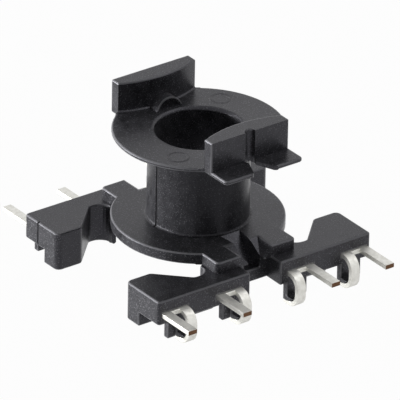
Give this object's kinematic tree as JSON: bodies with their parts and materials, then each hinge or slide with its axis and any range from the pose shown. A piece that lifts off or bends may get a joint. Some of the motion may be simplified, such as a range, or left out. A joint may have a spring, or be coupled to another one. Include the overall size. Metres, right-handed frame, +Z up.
{
  "type": "transformer bobbin",
  "caption": "Small surface-mount coil former: a flanged tube for the winding, lugs that locate a round-post core, and two rails of bent strip terminals.",
  "frame": {"origin": "on the bore's axis, in the plane of the board that the solder leads stand on", "axes": "+Z up along the bore, X along the terminal rows, -Y to the side with the wire wings"},
  "size_m": [0.0148, 0.0182, 0.0108],
  "materials": {
    "moulding": "black filled moulding compound, finely grained, semi-matt",
    "tinned_strip": "bright tinned copper-alloy strip with bare sheared ends"
  },
  "bodies": {
    "root": {"bobbin": "moulding", "terminal_front_1": "tinned_strip", "terminal_front_2": "tinned_strip", "terminal_front_3": "tinned_strip", "terminal_front_4": "tinned_strip", "terminal_back_1": "tinned_strip", "terminal_back_2": "tinned_strip", "terminal_back_3": "tinned_strip", "terminal_back_4": "tinned_strip"}
  },
  "joints": []
}
